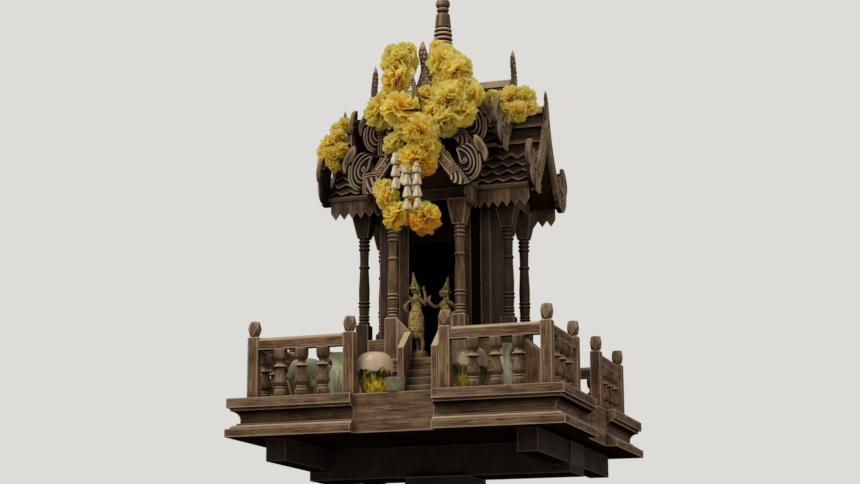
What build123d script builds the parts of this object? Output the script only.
"""Carved teak spirit house: a shrine with a cross-shaped two-tier roof, on a railed platform and one post.

Millimetres, +Z up. The origin is the middle of the post's foot, at ground level. The stair with the
open doorway faces -Y.
"""
from build123d import *
import os

os.makedirs("parts", exist_ok=True)

# Fits
seat = 0.3                      # clearance where one turned or curved piece seats on another

# Post and beams under the platform
post_width = 140.0
post_chamfer = 8.0
platform_top = 1650.0           # height of the deck over the ground
cross_beam_length = 574.0
cross_beam_width = 110.0
cross_beam_height = 65.0
side_beam_width = 42.0
side_beam_height = 46.0
side_beam_inset = 3.5           # side beams from the ends of the cross beam
side_beam_end = 52.0            # ends of the side beams from the platform's faces

# Platform
platform_width = 700.0
platform_height = 78.0
deck_thickness = 19.0
bottom_thickness = 12.0
moulding_depth = 34.0
top_fascia = 19.0
bottom_fascia = 16.0
bottom_reach = 2.0              # the bottom fascia stands this much further out than the top one
moulding_gap = 168.0            # opening in the moulding at the middle of each side
gap_board_recess = 20.0
gap_board_thickness = 12.0

# Balustrade
rail_post_width = 22.0
rail_post_height = 128.0
corner_post_inset = 42.0        # middle of a corner post from the platform's faces
gate_post_clearance = 16.5      # middle of a gate post from the gap in the moulding
knob_width = 27.0
knob_neck_width = 13.0
knob_neck_height = 5.0
rail_width = 18.0
rail_height = 25.0
rail_drop = 2.0                 # top of the rail under the top of the posts
rail_chamfer = 6.0
balusters_per_bay = 3
baluster_radius = 15.5

# Plinth and floor of the shrine
floor_height = 96.0             # over the deck
floor_thickness = 26.0
plinth_inset = 7.0
skirting_height = 14.0
body_half_length = 176.0        # along X, to the floor's edge
body_half_depth = 76.0          # along Y
porch_half_width = 88.0
porch_half_reach = 138.0

# Stairs, one on each side
stair_half_width = 30.0
cheek_thickness = 13.0
cheek_front_height = 112.0
cheek_back_height = 152.0
tread_run = 11.0
tread_count = 4

# Columns
porch_column_x = 74.0
porch_column_y = 124.0
body_column_x = 162.0
body_column_y = 62.0
column_block_width = 28.0
column_block_height = 90.0
column_top = 334.0              # top of the capital over the floor
capital_width = 40.0

# Walls
wall_half_length = 124.0
wall_half_depth = 62.0
wall_thickness = 10.0
door_half_width = 59.0
door_height = 262.0
pilaster_width = 22.0
pilaster_thickness = 5.0
parapet_height = 54.0
parapet_thickness = 8.0

# Beams on the columns
beam_height = 25.0
beam_width = 22.0

# Roof
roof_thickness = 13.0           # measured upright
eave_drop = 3.0                 # lower eaves under the top of the beams
lower_rise = 198.0              # from the eave to the ridge
lower_half_width = 112.0
lower_hollow = 20.0             # how far each slope is hollowed from a straight line
lower_reach_x = 228.0
lower_reach_y = 194.0
ridge_step = 68.0               # upper ridge over the lower one
upper_rise = 173.0
upper_half_width = 104.0
upper_hollow = 16.0
upper_reach_x = 156.0
upper_reach_y = 122.0
gable_thickness = 8.0

# Bargeboards with their scrolls
barge_thickness = 10.0
barge_over = 9.0                # board over the roof's surface
barge_under = 20.0              # board under the roof's surface
upper_scroll_lift = 8.0         # the upper scrolls stand this much higher over their eaves
rib_width = 4.4
rib_height = 2.0                # ribs of the scroll over the board's face
foot_height = 1.6               # squared foot over the board's face
tooth_count = 6
tooth_height = 9.0
tooth_start = 0.33              # first tooth, as a share of the slope from its eave
tooth_end = 0.60

# Horns on the ends of the ridges
lower_horn_height = 40.0        # over the ridge
upper_horn_height = 71.0
horn_thickness = 9.0

# Fringe under the eaves
fringe_height = 40.0
fringe_thickness = 5.0
fringe_tooth = 14.0
fringe_pitch = 20.0

# Spire
spire_base_width = 58.0
spire_base_rise = 82.0          # over the upper ridge
spire_ring_radius = 21.0
spire_ring_count = 5
spire_ring_pitch = 11.0
spire_neck_radius = 16.0
spire_neck_height = 33.0
spire_bud_radius = 13.5
spire_tip_height = 130.0

# Offerings
globe_radius = 36.0
globe_height = 86.0
globe_setback = 88.0            # from the platform's front face to the middle of a globe
vase_radius = 24.0
vase_height = 86.0
vase_setback = 112.0
cup_radius = 23.5
cup_height = 34.0
cup_setback = 32.0
dancer_height = 190.0
dancer_base_radius = 17.0

# Heights worked out from the sizes above
platform_bottom = platform_top - platform_height
beam_underside = platform_bottom - cross_beam_height
floor_top = platform_top + floor_height
beam_bottom = floor_top + column_top
beam_top = beam_bottom + beam_height
half_platform = platform_width / 2
corner_post_place = half_platform - corner_post_inset
gate_post_place = moulding_gap / 2 + gate_post_clearance
side_beam_length = platform_width - 2 * side_beam_end
side_beam_spacing = cross_beam_length - side_beam_width - 2 * side_beam_inset
rail_top = platform_top + rail_post_height - rail_drop
rail_underside = rail_top - rail_height

# Heights of the roof over the deck
lower_eave = floor_height + column_top + beam_height - eave_drop
lower_ridge = lower_eave + lower_rise
upper_ridge = lower_ridge + ridge_step
upper_eave = upper_ridge - upper_rise
spire_base_top = upper_ridge + spire_base_rise

# Post from the ground to the beams
with BuildPart() as main_post:
    with BuildSketch():
        Rectangle(post_width, post_width)
    extrude(amount=beam_underside)
    chamfer(main_post.edges().filter_by(Axis.Z), post_chamfer)

# Cross beam over the post, with a housing for each side beam
with BuildPart() as cross_beam:
    with BuildSketch(Plane.XY.offset(beam_underside)):
        Rectangle(cross_beam_length, cross_beam_width)
    extrude(amount=cross_beam_height)
    with BuildSketch(Plane.XY.offset(platform_bottom)):
        with GridLocations(side_beam_spacing, 0, 2, 1):
            Rectangle(side_beam_width + 2 * seat, cross_beam_width)
    extrude(amount=-side_beam_height - seat, mode=Mode.SUBTRACT)

# Two beams from front to back, let into the cross beam
with BuildPart() as side_beams:
    with BuildSketch(Plane.XY.offset(platform_bottom)):
        with GridLocations(side_beam_spacing, 0, 2, 1):
            Rectangle(side_beam_width, side_beam_length)
    extrude(amount=-side_beam_height)

# Board that closes the platform from below
with BuildPart() as bottom_board:
    with BuildSketch(Plane.XY.offset(platform_bottom)):
        Rectangle(platform_width - 2 * moulding_depth, platform_width - 2 * moulding_depth)
    extrude(amount=bottom_thickness)

# Deck
with BuildPart() as deck:
    with BuildSketch(Plane.XY.offset(platform_top - deck_thickness)):
        Rectangle(platform_width - 2 * moulding_depth, platform_width - 2 * moulding_depth)
    extrude(amount=deck_thickness)

# Frame between the deck and the bottom board
with BuildPart() as platform_frame:
    with BuildSketch(Plane.XY.offset(platform_bottom + bottom_thickness)):
        Rectangle(platform_width - 2 * moulding_depth, platform_width - 2 * moulding_depth)
        Rectangle(
            platform_width - 4 * moulding_depth, platform_width - 4 * moulding_depth, mode=Mode.SUBTRACT
        )
    extrude(amount=platform_height - bottom_thickness - deck_thickness)

# Moulding round the platform, cut into one angle for each corner; its section is drawn as the
# distance in from the platform's face and the height over its foot
cove_top = platform_height - top_fascia - 6
waist_top = cove_top - 16
swell_middle = (waist_top - 13 + bottom_fascia) / 2 + 2
with BuildPart() as corner_mouldings:
    with BuildSketch(
        Plane((-half_platform, -half_platform, platform_bottom), x_dir=(0, 1, 0), z_dir=(1, 0, 0))
    ):
        with BuildLine():
            Polyline(
                (-bottom_reach, bottom_fascia), (-bottom_reach, 0), (moulding_depth, 0),
                (moulding_depth, platform_height), (0, platform_height), (0, platform_height - top_fascia),
                (6, platform_height - top_fascia), (6, cove_top),
            )
            ThreePointArc((6, cove_top), (17, cove_top - 5), (22, waist_top))
            Polyline((22, waist_top), (22, waist_top - 9), (16, waist_top - 9), (16, waist_top - 13))
            ThreePointArc((16, waist_top - 13), (8, swell_middle), (5, bottom_fascia))
            Line((5, bottom_fascia), (-bottom_reach, bottom_fascia))
        make_face()
    with BuildLine(Plane.XY.offset(platform_bottom)):
        Polyline(
            (-half_platform, -half_platform), (half_platform, -half_platform),
            (half_platform, half_platform), (-half_platform, half_platform), (-half_platform, -half_platform),
        )
    sweep(transition=Transition.RIGHT)
    with BuildSketch(Plane.XY.offset(platform_bottom)):
        Rectangle(platform_width + 4 * bottom_reach, moulding_gap)
        Rectangle(moulding_gap, platform_width + 4 * bottom_reach)
    extrude(amount=platform_height, mode=Mode.SUBTRACT)

# Plain boards in the gaps of the moulding
gap_board_place = half_platform - gap_board_recess - gap_board_thickness / 2
with BuildPart() as gap_boards:
    with BuildSketch(Plane.XY.offset(platform_bottom)):
        with PolarLocations(gap_board_place, 4):
            Rectangle(gap_board_thickness, moulding_gap)
    extrude(amount=platform_height)

# Knob of a balustrade post: a cube with its corners cut back to the middle of each edge
with BuildPart() as knob:
    Box(knob_width, knob_width, knob_width, align=(Align.CENTER, Align.CENTER, Align.CENTER))
    for side_x in (-1, 1):
        for side_y in (-1, 1):
            for side_z in (-1, 1):
                corner = Vector(side_x, side_y, side_z)
                cut = Plane(corner * (knob_width / 3), z_dir=corner)
                split(bisect_by=cut, keep=Keep.BOTTOM)

corner_places = [
    (side_x * corner_post_place, side_y * corner_post_place) for side_x in (-1, 1) for side_y in (-1, 1)
]
gate_places = [
    place for side in (-1, 1) for across in (-gate_post_place, gate_post_place)
    for place in ((across, side * corner_post_place), (side * corner_post_place, across))
]

# Posts of the balustrade with their knobs
with BuildPart() as rail_posts:
    with BuildSketch(Plane.XY.offset(platform_top)):
        with Locations(*corner_places, *gate_places):
            Rectangle(rail_post_width, rail_post_width)
    extrude(amount=rail_post_height)
    with BuildSketch(Plane.XY.offset(platform_top + rail_post_height)):
        with Locations(*corner_places, *gate_places):
            Rectangle(knob_neck_width, knob_neck_width)
    extrude(amount=knob_neck_height)
    knob_middle = platform_top + rail_post_height + knob_neck_height + knob_width / 2
    with Locations(*[(x, y, knob_middle) for x, y in corner_places + gate_places]):
        add(knob.part)

# Rails between the posts, bevelled along the top
bay_start = gate_post_place + rail_post_width / 2
bay_end = corner_post_place - rail_post_width / 2
bay_length = bay_end - bay_start
bay_middle = (bay_start + bay_end) / 2
with BuildPart() as rails:
    with BuildSketch(Plane.XY.offset(rail_underside)):
        for side in (-1, 1):
            with Locations((side * bay_middle, -corner_post_place), (side * bay_middle, corner_post_place)):
                Rectangle(bay_length, rail_width)
            with Locations((-corner_post_place, side * bay_middle), (corner_post_place, side * bay_middle)):
                Rectangle(rail_width, bay_length)
    extrude(amount=rail_height)
    top_edges = rails.edges().group_by(Axis.Z)[-1]
    chamfer(top_edges.filter_by(lambda edge: edge.length > rail_width + 1), rail_chamfer)

# Turned balusters under the rails
baluster_height = rail_underside - platform_top
with BuildPart() as baluster:
    with BuildSketch(Plane.XZ):
        with BuildLine():
            Polyline((0, 0), (10.5, 0), (10.5, 15), (8, 19), (8, 23))
            Spline((8, 23), (baluster_radius, 33), (11, 46), (6.5, 56), tangents=((1, 0.6), (-0.1, 1)))
            Polyline((6.5, 56), (7, 61), (12.5, 63), (12.5, 67), (8.5, 69), (8.5, 74))
            ThreePointArc((8.5, 74), (13.5, 79), (baluster_radius - 0.5, 86))
            Polyline(
                (baluster_radius - 0.5, 86), (baluster_radius - 0.5, baluster_height - 3),
                (baluster_radius - 3, baluster_height), (0, baluster_height), (0, 0),
            )
        make_face()
    revolve(axis=Axis.Z)
baluster_step = bay_length / (balusters_per_bay + 1)
baluster_places = []
for side in (-1, 1):
    for half in (-1, 1):
        for number in range(balusters_per_bay):
            along = half * (bay_start + (number + 1) * baluster_step)
            baluster_places.append((along, side * corner_post_place))
            baluster_places.append((side * corner_post_place, along))
with BuildPart() as balusters:
    with Locations(*[(x, y, platform_top) for x, y in baluster_places]):
        add(baluster.part)


def cross_plan(inset):
    """Plan of the shrine's floor: a long body with a porch in front and behind."""
    with BuildSketch() as plan:
        Rectangle(2 * (body_half_length - inset), 2 * (body_half_depth - inset))
        Rectangle(2 * (porch_half_width - inset), 2 * (porch_half_reach - inset))
    return plan.sketch


# Plinth of the shrine
with BuildPart() as plinth:
    with BuildSketch(Plane.XY.offset(platform_top)):
        add(cross_plan(plinth_inset))
    extrude(amount=floor_height - floor_thickness)
    with BuildSketch(Plane.XY.offset(platform_top)):
        add(cross_plan(plinth_inset / 2))
    extrude(amount=skirting_height)

# Floor of the shrine
with BuildPart() as floor:
    with BuildSketch(Plane.XY.offset(floor_top - floor_thickness)):
        add(cross_plan(0))
    extrude(amount=floor_thickness)


def stair_flight(reach):
    """Steps from the deck up to the floor, as a side view pulled out to the stair's width."""
    rise = (floor_height - floor_thickness) / tread_count
    start = reach - plinth_inset / 2 + seat
    points = [(-start, platform_top)]
    for number in range(tread_count):
        front = reach + (tread_count - number) * tread_run
        points.append((-front, platform_top + number * rise))
        points.append((-front, platform_top + (number + 1) * rise))
    points.append((-start, platform_top + tread_count * rise))
    with BuildPart() as flight:
        with BuildSketch(Plane.YZ):
            with BuildLine():
                Polyline(*points, close=True)
            make_face()
        extrude(amount=stair_half_width - seat, both=True)
    return flight.part


def stair_cheeks(reach):
    """Boards on both sides of a flight, with a top that slopes down to the front."""
    front = reach + tread_count * tread_run + 3
    with BuildPart() as cheeks:
        with BuildSketch(Plane.YZ.offset(stair_half_width)):
            with BuildLine():
                Polyline(
                    (-reach - seat, platform_top), (-front, platform_top),
                    (-front, platform_top + cheek_front_height),
                    (-reach - seat, platform_top + cheek_back_height), close=True,
                )
            make_face()
        extrude(amount=cheek_thickness)
        mirror(about=Plane.YZ)
    return cheeks.part


# Front and back stairs
with BuildPart() as front_stair:
    add(stair_flight(porch_half_reach))
with BuildPart() as back_stair:
    add(stair_flight(porch_half_reach), rotation=(0, 0, 180))
with BuildPart() as right_stair:
    add(stair_flight(body_half_length), rotation=(0, 0, 90))
with BuildPart() as left_stair:
    add(stair_flight(body_half_length), rotation=(0, 0, -90))
with BuildPart() as stair_sides:
    for reach, turns in ((porch_half_reach, (0, 180)), (body_half_length, (90, -90))):
        for turn in turns:
            add(stair_cheeks(reach), rotation=(0, 0, turn))


def ring(radius, low, high):
    """Points of a turned ring between two heights, rounded by its two middle points."""
    third = (high - low) / 3
    return [(radius - 2.2, low), (radius, low + third), (radius, high - third), (radius - 2.2, high)]


# Turned column on a square block, with a spreading square capital
shaft_bottom = column_block_height
with BuildPart() as column:
    with BuildSketch():
        Rectangle(column_block_width, column_block_width)
    extrude(amount=column_block_height)
    chamfer(column.edges().group_by(Axis.Z)[-1], 3)
    with BuildSketch(Plane.XZ):
        with BuildLine():
            outline = [(0, shaft_bottom - 1), (9.5, shaft_bottom - 1)]
            outline += ring(12.5, shaft_bottom, shaft_bottom + 7)
            outline += [(9.5, shaft_bottom + 8)]
            outline += ring(12.0, shaft_bottom + 9, shaft_bottom + 14)
            outline += ring(12.0, shaft_bottom + 15, shaft_bottom + 20)
            outline += [(10.5, shaft_bottom + 23), (11.2, shaft_bottom + 35)]
            outline += ring(12.8, shaft_bottom + 37, shaft_bottom + 43)
            outline += ring(12.8, shaft_bottom + 45, shaft_bottom + 51)
            outline += [(11.2, shaft_bottom + 54), (11.6, shaft_bottom + 75), (9.6, shaft_bottom + 118)]
            outline += ring(11.6, shaft_bottom + 122, shaft_bottom + 130)
            outline += [(9.2, shaft_bottom + 133), (9.8, shaft_bottom + 158)]
            outline += ring(12.2, shaft_bottom + 162, shaft_bottom + 169)
            outline += ring(12.2, shaft_bottom + 171, shaft_bottom + 178)
            outline += ring(12.2, shaft_bottom + 180, shaft_bottom + 187)
            outline += [(10, shaft_bottom + 190), (0, shaft_bottom + 190)]
            Polyline(*outline, close=True)
        make_face()
    revolve(axis=Axis.Z)
    with BuildSketch(Plane.XY.offset(shaft_bottom + 190)):
        Rectangle(24, 24)
    with BuildSketch(Plane.XY.offset(column_top - 14)):
        Rectangle(capital_width, capital_width)
    loft()
    with BuildSketch(Plane.XY.offset(column_top - 14)):
        Rectangle(capital_width, capital_width)
    extrude(amount=14)

with BuildPart() as porch_columns:
    with Locations(*[
        (side_x * porch_column_x, side_y * porch_column_y, floor_top)
        for side_x in (-1, 1) for side_y in (-1, 1)
    ]):
        add(column.part)
with BuildPart() as body_columns:
    with Locations(*[
        (side_x * body_column_x, side_y * body_column_y, floor_top)
        for side_x in (-1, 1) for side_y in (-1, 1)
    ]):
        add(column.part)

# Walls of the shrine's room, the front one split round the doorway
wall_height = beam_bottom - floor_top
side_width = wall_half_length - door_half_width
side_middle = (wall_half_length + door_half_width) / 2
front_wall_y = -wall_half_depth + wall_thickness / 2
with BuildPart() as front_wall_left:
    with BuildSketch(Plane.XY.offset(floor_top)):
        with Locations((-side_middle, front_wall_y)):
            Rectangle(side_width, wall_thickness)
        with Locations(
            (-door_half_width - pilaster_width / 2, front_wall_y - pilaster_thickness),
            (-wall_half_length + pilaster_width / 2, front_wall_y - pilaster_thickness),
        ):
            Rectangle(pilaster_width, wall_thickness)
    extrude(amount=wall_height)
with BuildPart() as front_wall_right:
    add(front_wall_left.part.mirror(Plane.YZ))
with BuildPart() as door_head:
    with BuildSketch(Plane.XY.offset(floor_top + door_height)):
        with Locations((0, front_wall_y)):
            Rectangle(2 * door_half_width, wall_thickness)
    extrude(amount=wall_height - door_height)
with BuildPart() as back_wall:
    with BuildSketch(Plane.XY.offset(floor_top)):
        with Locations((0, -front_wall_y)):
            Rectangle(2 * wall_half_length, wall_thickness)
        with Locations(*[
            (side * place, -front_wall_y + pilaster_thickness)
            for side in (-1, 1)
            for place in (door_half_width + pilaster_width / 2, wall_half_length - pilaster_width / 2)
        ]):
            Rectangle(pilaster_width, wall_thickness)
    extrude(amount=wall_height)
inner_half_depth = wall_half_depth - wall_thickness
with BuildPart() as right_wall:
    with BuildSketch(Plane.XY.offset(floor_top)):
        with Locations((wall_half_length - wall_thickness / 2, 0)):
            Rectangle(wall_thickness, 2 * inner_half_depth)
    extrude(amount=wall_height)
with BuildPart() as left_wall:
    add(right_wall.part.mirror(Plane.YZ))

# Low parapets between the blocks of the columns
parapet_y = body_column_y + column_block_width / 2 - parapet_thickness / 2
parapet_x = porch_column_x + column_block_width / 2 - parapet_thickness / 2
parapet_outer = body_column_x - column_block_width / 2
porch_outer = porch_column_y - column_block_width / 2
with BuildPart() as parapets:
    with BuildSketch(Plane.XY.offset(floor_top)):
        for side_x in (-1, 1):
            for side_y in (-1, 1):
                with BuildLine():
                    inner_x = parapet_x + parapet_thickness / 2
                    outer_y = parapet_y + parapet_thickness / 2
                    Polyline(*[(side_x * x, side_y * y) for x, y in (
                        (parapet_outer, outer_y), (inner_x, outer_y), (inner_x, porch_outer),
                        (inner_x - parapet_thickness, porch_outer),
                        (inner_x - parapet_thickness, outer_y - parapet_thickness),
                        (parapet_outer, outer_y - parapet_thickness),
                    )], close=True)
                make_face()
    extrude(amount=parapet_height)

# Sloping boards beside the stairs, from the column blocks down to the cheeks
entry_outer = porch_column_x - column_block_width / 2
entry_place = porch_column_y + column_block_width / 2
with BuildPart() as entry_boards:
    for side_y in (-1, 1):
        with BuildSketch(Plane.XZ.offset(side_y * (entry_place - parapet_thickness / 2))):
            for side_x in (-1, 1):
                with BuildLine():
                    Polyline(*[(side_x * x, z) for x, z in (
                        (entry_outer, floor_top), (stair_half_width, floor_top),
                        (stair_half_width, floor_top + parapet_height),
                        (entry_outer, floor_top + column_block_height - 4),
                    )], close=True)
                make_face()
        extrude(amount=parapet_thickness / 2, both=True)

# Beams on the columns and walls
with BuildPart() as ring_beam:
    with BuildSketch(Plane.XY.offset(beam_bottom)):
        half = beam_width / 2
        Rectangle(2 * (body_column_x + half), 2 * (body_column_y + half))
        Rectangle(2 * (porch_column_x + half), 2 * (porch_column_y + half))
        Rectangle(2 * (body_column_x - half), 2 * (body_column_y - half), mode=Mode.SUBTRACT)
        Rectangle(2 * (porch_column_x - half), 2 * (porch_column_y - half), mode=Mode.SUBTRACT)
    extrude(amount=beam_height)


def slope_arc(half_width, eave, ridge, hollow):
    """Arc of one slope, from the eave on the right up to the ridge, hollowed below its chord."""
    chord = Vector(-half_width, ridge - eave)
    middle = Vector(half_width, eave) + chord * 0.5
    inward = Vector(-chord.Y, chord.X).normalized() * hollow
    bend = middle + inward
    return (half_width, eave), (bend.X, bend.Y), (0, ridge)


def gable_face(half_width, eave, ridge, hollow, drop):
    """Gable-shaped face under two hollow slopes, moved down by the drop and cut level at the eaves."""
    points = [(x, platform_top + z - drop) for x, z in slope_arc(half_width, eave, ridge, hollow)]
    with BuildSketch() as gable:
        with BuildLine():
            right = ThreePointArc(*points)
            left = ThreePointArc(*[(-x, z) for x, z in points])
            Line(right @ 0, left @ 0)
        make_face()
        with Locations((0, platform_top + eave)):
            Rectangle(
                3 * half_width, 2 * roof_thickness, align=(Align.CENTER, Align.MAX), mode=Mode.SUBTRACT
            )
    return gable.sketch


def roof_shell(half_width, eave, ridge, hollow, reach_x, reach_y):
    """Cross-gabled roof: two outer gable solids, less two inner ones that run out at the ends."""
    with BuildPart() as shell:
        for plane, reach in ((Plane.XZ, reach_y), (Plane.YZ, reach_x)):
            with BuildSketch(plane):
                add(gable_face(half_width, eave, ridge, hollow, 0))
            extrude(amount=reach, both=True)
        for plane, reach in ((Plane.XZ, reach_y), (Plane.YZ, reach_x)):
            with BuildSketch(plane):
                add(gable_face(half_width, eave, ridge, hollow, roof_thickness))
            extrude(amount=reach + 1, both=True, mode=Mode.SUBTRACT)
    return shell.part


lower = (lower_half_width, lower_eave, lower_ridge, lower_hollow)
upper = (upper_half_width, upper_eave, upper_ridge, upper_hollow)
with BuildPart() as lower_roof:
    add(roof_shell(*lower, lower_reach_x, lower_reach_y))
with BuildPart() as upper_roof:
    add(roof_shell(*upper, upper_reach_x, upper_reach_y))


def board_between(tier, over, under):
    """Band along both slopes of a gable, from over the roof's surface to under it."""
    points = [(x, platform_top + z) for x, z in slope_arc(*tier)]
    with BuildSketch() as band:
        with BuildLine():
            right = ThreePointArc(*[(x, z + over) for x, z in points])
            left = ThreePointArc(*[(-x, z + over) for x, z in points])
            low_right = ThreePointArc(*[(x, z - under) for x, z in points])
            low_left = ThreePointArc(*[(-x, z - under) for x, z in points])
            Line(right @ 0, low_right @ 0)
            Line(left @ 0, low_left @ 0)
        make_face()
    return band.sketch


# Gable boards: the lower ones stand on the beams, the upper ones ride over the lower roof
with BuildPart() as lower_gables:
    for plane, place in ((Plane.XZ, porch_column_y), (Plane.YZ, body_column_x)):
        for side in (-1, 1):
            with BuildSketch(plane.offset(side * place)):
                add(gable_face(*lower, roof_thickness + seat))
                with Locations((0, beam_top)):
                    Rectangle(
                        3 * lower_half_width, beam_height, align=(Align.CENTER, Align.MAX),
                        mode=Mode.SUBTRACT,
                    )
            extrude(amount=gable_thickness / 2, both=True)
with BuildPart() as upper_gables:
    for plane, place in ((Plane.XZ, upper_reach_y), (Plane.YZ, upper_reach_x)):
        for side in (-1, 1):
            with BuildSketch(plane.offset(side * (place - 2 * gable_thickness))):
                add(gable_face(*upper, roof_thickness + seat))
                add(gable_face(*lower, -seat), mode=Mode.SUBTRACT)
            extrude(amount=gable_thickness / 2, both=True)


# The carving at the foot of a bargeboard's right half, from the corner of its eave: outwards, up.
# The scroll's edge runs from the foot round the outside to the free ends of the ribs
scroll_edge = ((10, -8), (23, -1), (31, 10), (34.5, 24), (34.5, 40), (31, 55), (23, 67), (12, 76), (2, 80))
scroll_ends = ((2, 80), (-7, 76.5), (-20, 71.5), (-17, 58), (-14.5, 47), (-13, 38), (-18, 32))
body_edge = ((-18, 32), (-24, 40), (-30, 50), (-38, 64), (-50, 62))
body_root = ((-50, 62), (-56, 50), (-46, 22), (-30, 12), (10, -8))
leaf_edge = ((20, 96), (31, 91), (39.5, 80), (47, 68), (50.5, 57), (50, 47), (45.5, 39), (41, 35))
leaf_root = ((41, 35), (38, 46), (33, 54), (26, 56), (17, 71), (20, 96))
right_foot = ((-37, 15), (-15.5, 30), (10.5, -8), (-11, -7.5), (-22, -3), (-33, 5))
left_foot = ((-36, 31), (1, 30), (1, -11), (-36, -8))
ribs = (
    ((10, -3.5), (20.5, 3), (27.5, 14), (31, 27), (31, 41), (28, 54)),
    ((6, 3), (17, 6), (24, 17), (26, 30), (25.5, 43), (22.5, 55), (16.5, 65), (9, 71.5), (2, 75)),
    ((2, 13), (9.5, 13), (15.5, 20), (18.5, 30), (17.5, 41), (13, 52.5), (5.5, 62), (-6, 71)),
    ((-4, 22.5), (4.5, 22.5), (10, 29.5), (11, 38.5), (7, 48.5), (-1.5, 58), (-17, 67)),
    ((-17, 67), (-13, 56), (-11, 47), (-8.5, 39), (-3, 34.5), (2.5, 37.5), (1, 43.5), (-3, 42)),
)


def carving_places(tier, lift, side, points):
    """Points of the carving on one side of a gable: -1 is its left half, 1 its right half."""
    return [(side * (tier[0] + x), platform_top + tier[1] + lift + z) for x, z in points]


def bargeboard(tier, lift):
    """Gable's bargeboard: a toothed band along both slopes, with a scroll, a foot and a leaf at each end."""
    slope = Edge.make_three_point_arc(*[(x, platform_top + z + barge_over - 1) for x, z in slope_arc(*tier)])
    with BuildSketch() as board:
        add(board_between(tier, barge_over, barge_under))
        for side in (-1, 1):
            with Locations((side * (tier[0] - 44), platform_top + tier[1] - 60)):
                Rectangle(
                    100, 180, mode=Mode.SUBTRACT, align=(Align.MIN if side > 0 else Align.MAX, Align.MIN)
                )
            for number in range(tooth_count):
                along = tooth_start + (tooth_end - tooth_start) * number / (tooth_count - 1)
                root, head = slope @ (along - 0.035), slope @ (along + 0.035)
                tip = slope @ (along + 0.03) + Vector(tooth_height, tooth_height * 0.6)
                with BuildLine():
                    Polyline(
                        (side * root.X, root.Y), (side * tip.X, tip.Y), (side * head.X, head.Y), close=True
                    )
                make_face()
            foot = carving_places(tier, lift, side, right_foot if side > 0 else left_foot)
            with BuildLine():
                Spline(*carving_places(tier, lift, side, scroll_edge))
                Polyline(*carving_places(tier, lift, side, scroll_ends))
                Polyline(*carving_places(tier, lift, side, body_edge))
                Polyline(*carving_places(tier, lift, side, body_root))
            make_face()
            with BuildLine():
                Spline(*carving_places(tier, lift, side, leaf_edge))
                Polyline(*carving_places(tier, lift, side, leaf_root))
            make_face()
            with BuildLine():
                Polyline(*foot, close=True)
            make_face()
    return board.sketch


def scroll_ribs(tier, lift):
    """Ribs of both scrolls of a gable: each is a band of one width along a curve."""
    with BuildSketch() as bands:
        for side in (-1, 1):
            for rib in ribs:
                curve = Edge.make_spline([Vector(*place) for place in carving_places(tier, lift, side, rib)])
                steps = [number / len(rib) for number in range(len(rib) + 1)]
                across = [(curve % step).rotate(Axis.Z, 90) * (rib_width / 2) for step in steps]
                with BuildLine():
                    inner = Spline(*[curve @ step - offset for step, offset in zip(steps, across)])
                    outer = Spline(*[curve @ step + offset for step, offset in zip(steps, across)])
                    Line(inner @ 0, outer @ 0)
                    Line(inner @ 1, outer @ 1)
                make_face()
    return bands.sketch


def scroll_feet(tier, lift):
    """Squared feet of both halves of a gable."""
    with BuildSketch() as feet:
        for side, outline in ((-1, left_foot), (1, right_foot)):
            with BuildLine():
                Polyline(*carving_places(tier, lift, side, outline), close=True)
            make_face()
    return feet.sketch


def gable_planes(reach_x, reach_y):
    """Upright plane at each end of the roof's arms, facing outwards: front, back, right, left."""
    return {
        "front": Plane((0, -reach_y, 0), x_dir=(1, 0, 0), z_dir=(0, -1, 0)),
        "back": Plane((0, reach_y, 0), x_dir=(-1, 0, 0), z_dir=(0, 1, 0)),
        "right": Plane((reach_x, 0, 0), x_dir=(0, 1, 0), z_dir=(1, 0, 0)),
        "left": Plane((-reach_x, 0, 0), x_dir=(0, -1, 0), z_dir=(-1, 0, 0)),
    }


# Bargeboards of both tiers, on the ends of the roofs
tiers = (
    (lower, (lower_reach_x, lower_reach_y), 0, lower_horn_height),
    (upper, (upper_reach_x, upper_reach_y), upper_scroll_lift, upper_horn_height),
)
bargeboards = {}
for side in ("front", "back", "right", "left"):
    with BuildPart() as pair:
        for tier, reach, lift, _ in tiers:
            face = gable_planes(*reach)[side]
            with BuildSketch(face):
                add(bargeboard(tier, lift))
            extrude(amount=barge_thickness)
            with BuildSketch(face):
                add(scroll_ribs(tier, lift))
            extrude(amount=barge_thickness + rib_height)
            with BuildSketch(face):
                add(scroll_feet(tier, lift))
            extrude(amount=barge_thickness + foot_height)
    bargeboards[side] = pair.part


def horn(height):
    """Horn over a gable's middle, leaning to the left, with two feet spread over the slopes."""
    outline = (
        (0.31, -0.5), (0.27, -0.3), (0.23, -0.1), (0.21, 0.12), (0.15, 0.4), (0.05, 0.7), (-0.05, 1.0),
        (-0.13, 0.9), (-0.20, 0.65), (-0.17, 0.38), (-0.13, 0.15), (-0.16, -0.08), (-0.25, -0.3),
        (-0.31, -0.5),
    )
    points = [(x * height, z * height) for x, z in outline]
    with BuildSketch() as face:
        with BuildLine():
            Spline(*points[:7])
            Line(points[6], points[7])
            Spline(*points[7:])
            Polyline(points[-1], (-0.31 * height, -height), (0.31 * height, -height), points[0])
        make_face()
    return face.sketch


# Horns in the planes of the bargeboards, cut to sit on the boards' upper edges
with BuildPart() as ridge_finials:
    for tier, reach, _, horn_height in tiers:
        for face in gable_planes(*reach).values():
            with BuildSketch(face):
                with Locations((0, platform_top + tier[2])):
                    add(horn(horn_height))
                add(gable_face(*tier, -barge_over - seat), mode=Mode.SUBTRACT)
            extrude(amount=horn_thickness)


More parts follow.
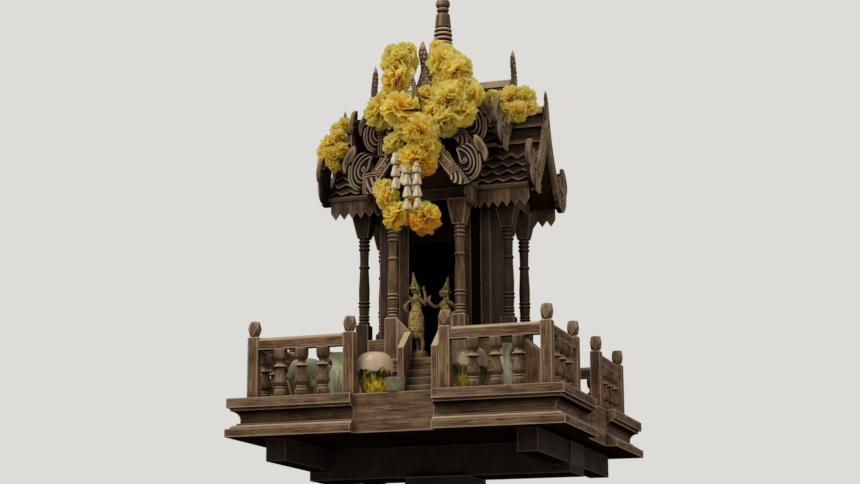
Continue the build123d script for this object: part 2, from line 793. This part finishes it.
def toothed_board(start, end):
    """Hanging board from one distance to another, with a row of pointed teeth along its foot."""
    count = round((end - start) / fringe_pitch)
    step = (end - start) / count
    top = platform_top + lower_eave
    root = top - fringe_height + fringe_tooth
    points = [(start, top)]
    for number in range(count):
        points.append((start + number * step, root))
        points.append((start + (number + 0.5) * step, root - fringe_tooth))
    points += [(end, root), (end, top)]
    with BuildSketch() as board:
        with BuildLine():
            Polyline(*points, close=True)
        make_face()
    return board.sketch


# Fringe under the lower eaves, an angle in each corner between two arms of the roof
fringe_place = lower_half_width - fringe_thickness - 3
with BuildPart() as eaves_fringe:
    for mirrored_x in (-1, 1):
        for mirrored_y in (-1, 1):
            along_x = Plane(
                (0, mirrored_y * fringe_place, 0), x_dir=(mirrored_x, 0, 0), z_dir=(0, mirrored_y, 0)
            ) if mirrored_x * mirrored_y < 0 else Plane(
                (0, mirrored_y * (fringe_place + fringe_thickness), 0), x_dir=(mirrored_x, 0, 0),
                z_dir=(0, -mirrored_y, 0),
            )
            with BuildSketch(along_x):
                add(toothed_board(fringe_place, lower_reach_x - 6))
            extrude(amount=fringe_thickness)
            along_y = Plane(
                (mirrored_x * fringe_place, 0, 0), x_dir=(0, mirrored_y, 0), z_dir=(mirrored_x, 0, 0)
            ) if mirrored_x * mirrored_y > 0 else Plane(
                (mirrored_x * (fringe_place + fringe_thickness), 0, 0), x_dir=(0, mirrored_y, 0),
                z_dir=(-mirrored_x, 0, 0),
            )
            with BuildSketch(along_y):
                add(toothed_board(fringe_place, lower_reach_y - 6))
            extrude(amount=fringe_thickness)

# Stepped block that saddles the crossing of the upper ridges
spire_base_bottom = platform_top + upper_ridge - 30
with BuildPart() as spire_base:
    steps = ((spire_base_width + 10, 46), (spire_base_width, 20), (spire_base_width - 8, 20))
    height = spire_base_bottom
    for width, rise in steps:
        with BuildSketch(Plane.XY.offset(height)):
            Rectangle(width, width)
        extrude(amount=rise)
        height += rise
    with BuildSketch(Plane.XY.offset(height)):
        Rectangle(spire_base_width - 16, spire_base_width - 16)
    extrude(amount=platform_top + spire_base_top - height)
    for plane in (Plane.XZ, Plane.YZ):
        with BuildSketch(plane):
            add(gable_face(*upper, -seat))
        extrude(amount=spire_base_width, both=True, mode=Mode.SUBTRACT)

# Turned spire: a stack of rings, a neck, a bud and a drawn-out tip
with BuildPart() as spire:
    with BuildSketch(Plane.XZ):
        with BuildLine():
            height = platform_top + spire_base_top
            outline = [(0, height), (spire_ring_radius - 2, height)]
            height += 5
            for number in range(spire_ring_count):
                radius = spire_ring_radius - 0.7 * number
                outline += [
                    (radius - 3, height), (radius, height + 2.5), (radius, height + spire_ring_pitch - 4),
                    (radius - 3, height + spire_ring_pitch - 1.5),
                ]
                height += spire_ring_pitch
            outline += [
                (spire_neck_radius, height + 1), (spire_neck_radius - 1.5, height + spire_neck_height),
            ]
            height += spire_neck_height
            outline += [
                (spire_neck_radius, height + 2), (spire_neck_radius, height + 8),
                (spire_neck_radius - 6, height + 11),
            ]
            Polyline(*outline)
            bud_foot = (spire_neck_radius - 6, height + 11)
            bud_top = (5, height + 36)
            Spline(bud_foot, (spire_bud_radius, height + 19), bud_top, tangents=((1, 0.5), (-0.3, 1)))
            tip = height + 36 + spire_tip_height
            Polyline(bud_top, (8, height + 39), (8, height + 43), (5.5, height + 46), (1.2, tip - 8))
            Polyline((1.2, tip - 8), (3, tip - 4), (0, tip), (0, platform_top + spire_base_top))
        make_face()
    revolve(axis=Axis.Z)

# Glass globes, vases and a cup on the deck
globe_y = globe_setback - half_platform
vase_y = vase_setback - half_platform
with BuildPart() as globe:
    with BuildSketch(Plane.XZ):
        with BuildLine():
            Line((0, 0), (globe_radius * 0.5, 0))
            Spline(
                (globe_radius * 0.5, 0), (globe_radius * 0.9, globe_height * 0.28),
                (globe_radius, globe_height * 0.58), (globe_radius * 0.78, globe_height * 0.9),
                (0, globe_height), tangents=((0.8, 1), (-1, 0)),
            )
            Line((0, globe_height), (0, 0))
        make_face()
    revolve(axis=Axis.Z)
with BuildPart() as globes:
    with Locations(
        (-64, globe_y, platform_top), (-225, globe_y + 30, platform_top), (135, globe_y, platform_top)
    ):
        add(globe.part)
with BuildPart() as vase:
    with BuildSketch(Plane.XZ):
        with BuildLine():
            Polyline((0, 0), (16, 0))
            Spline((16, 0), (vase_radius, 38), (12, 70), (18, vase_height), tangents=((0.5, 1), (0.6, 1)))
            Polyline((18, vase_height), (15, vase_height))
            Spline(
                (15, vase_height), (9, 70), (vase_radius - 3, 38), (12, 4), tangents=((-0.6, -1), (-0.5, -1))
            )
            Polyline((12, 4), (0, 4), (0, 0))
        make_face()
    revolve(axis=Axis.Z)
with BuildPart() as vases:
    with Locations((-150, vase_y, platform_top), (197, vase_y, platform_top)):
        add(vase.part)
with BuildPart() as votive_cup:
    with BuildSketch(Plane.XY.offset(platform_top)):
        with Locations((-4, cup_setback - half_platform)):
            Circle(cup_radius)
    extrude(amount=cup_height, taper=-4)
    with BuildSketch(Plane.XY.offset(platform_top + 3)):
        with Locations((-4, cup_setback - half_platform)):
            Circle(cup_radius - 2)
    extrude(amount=cup_height, taper=-4, mode=Mode.SUBTRACT)


def dancer(side):
    """Small figure on a round base: skirt, waist, shoulders, head and a tall crown, one arm raised."""
    with BuildPart() as figure:
        with BuildSketch(Plane.XZ):
            with BuildLine():
                Polyline((0, 0), (dancer_base_radius, 0), (dancer_base_radius, 7), (12, 10), (8, 14))
                Spline((8, 14), (14, 48), (8, 88), (13, 118), (5, 132), tangents=((0.4, 1), (-0.2, 1)))
                Spline((5, 132), (9, 142), (8, 152), tangents=((1, 1), (-0.5, 1)))
                Polyline((8, 152), (10, 155), (1.5, dancer_height), (0, dancer_height), (0, 0))
            make_face()
        revolve(axis=Axis.Z)
        with BuildLine():
            arm = Polyline((0, 0, 116), (side * 20, 0, 112), (side * 26, 0, 140))
        with BuildSketch(Plane((0, 0, 116), z_dir=(side * 20, 0, -4))):
            Circle(3.6)
        sweep(path=arm, transition=Transition.ROUND)
    return figure.part


with BuildPart() as left_dancer:
    with Locations((-22, -110, floor_top)):
        add(dancer(1))
with BuildPart() as right_dancer:
    with Locations((38, -110, floor_top)):
        add(dancer(-1))

# Space that the roof and its ornament fill, which the garlands lie against
with BuildPart() as roof_space:
    for tier, reach, *_ in tiers:
        for plane, distance in ((Plane.XZ, reach[1]), (Plane.YZ, reach[0])):
            with BuildSketch(plane):
                add(gable_face(*tier, -seat))
            extrude(amount=distance, both=True)
    for board in bargeboards.values():
        add(board)
    add(ridge_finials.part)


def garland(blooms):
    """Flower garland as fused balls: (x, y, height over the deck, radius), less the roof it lies on."""
    with BuildPart() as flowers:
        for x, y, z, radius in blooms:
            with Locations((x, y, platform_top + z)):
                Sphere(radius)
        add(roof_space.part, mode=Mode.SUBTRACT)
    return flowers.part


front_garland_blooms = [
    (-48, -146, 716, 42), (59, -146, 716, 42), (-66, -172, 640, 42), (66, -172, 640, 42),
    (-40, -214, 590, 38), (42, -214, 582, 34), (-2, -222, 542, 50), (-12, -222, 480, 22),
    (-14, -222, 448, 20), (-50, -222, 444, 28), (-34, -222, 404, 28), (18, -222, 402, 34),
]
right_garland_blooms = [(192, -20, 668, 30), (216, -26, 662, 32), (236, -38, 634, 30)]
left_garland_blooms = [
    (-214, -20, 655, 32), (-240, -36, 622, 28), (-246, -62, 580, 26), (-246, -84, 545, 20),
]
garlands = {
    "front_garland": garland(front_garland_blooms),
    "right_garland": garland(right_garland_blooms),
    "left_garland": garland(left_garland_blooms),
}

pieces = {
    "main_post": main_post.part,
    "cross_beam": cross_beam.part,
    "side_beams": side_beams.part,
    "bottom_board": bottom_board.part,
    "deck": deck.part,
    "platform_frame": platform_frame.part,
    "corner_mouldings": corner_mouldings.part,
    "gap_boards": gap_boards.part,
    "rail_posts": rail_posts.part,
    "rails": rails.part,
    "balusters": balusters.part,
    "plinth": plinth.part,
    "floor": floor.part,
    "front_stair": front_stair.part,
    "back_stair": back_stair.part,
    "right_stair": right_stair.part,
    "left_stair": left_stair.part,
    "stair_sides": stair_sides.part,
    "porch_columns": porch_columns.part,
    "body_columns": body_columns.part,
    "front_wall_left": front_wall_left.part,
    "front_wall_right": front_wall_right.part,
    "door_head": door_head.part,
    "back_wall": back_wall.part,
    "right_wall": right_wall.part,
    "left_wall": left_wall.part,
    "parapets": parapets.part,
    "entry_boards": entry_boards.part,
    "ring_beam": ring_beam.part,
    "lower_roof": lower_roof.part,
    "upper_roof": upper_roof.part,
    "lower_gables": lower_gables.part,
    "upper_gables": upper_gables.part,
    "ridge_finials": ridge_finials.part,
    "eaves_fringe": eaves_fringe.part,
    "spire_base": spire_base.part,
    "spire": spire.part,
    "glass_globes": globes.part,
    "glass_vases": vases.part,
    "votive_cup": votive_cup.part,
    "left_dancer": left_dancer.part,
    "right_dancer": right_dancer.part,
}
for side, piece in bargeboards.items():
    pieces[f"{side}_bargeboards"] = piece
pieces.update(garlands)
for name, piece in pieces.items():
    piece.label = name
    export_step(piece, f"parts/{name}.step")
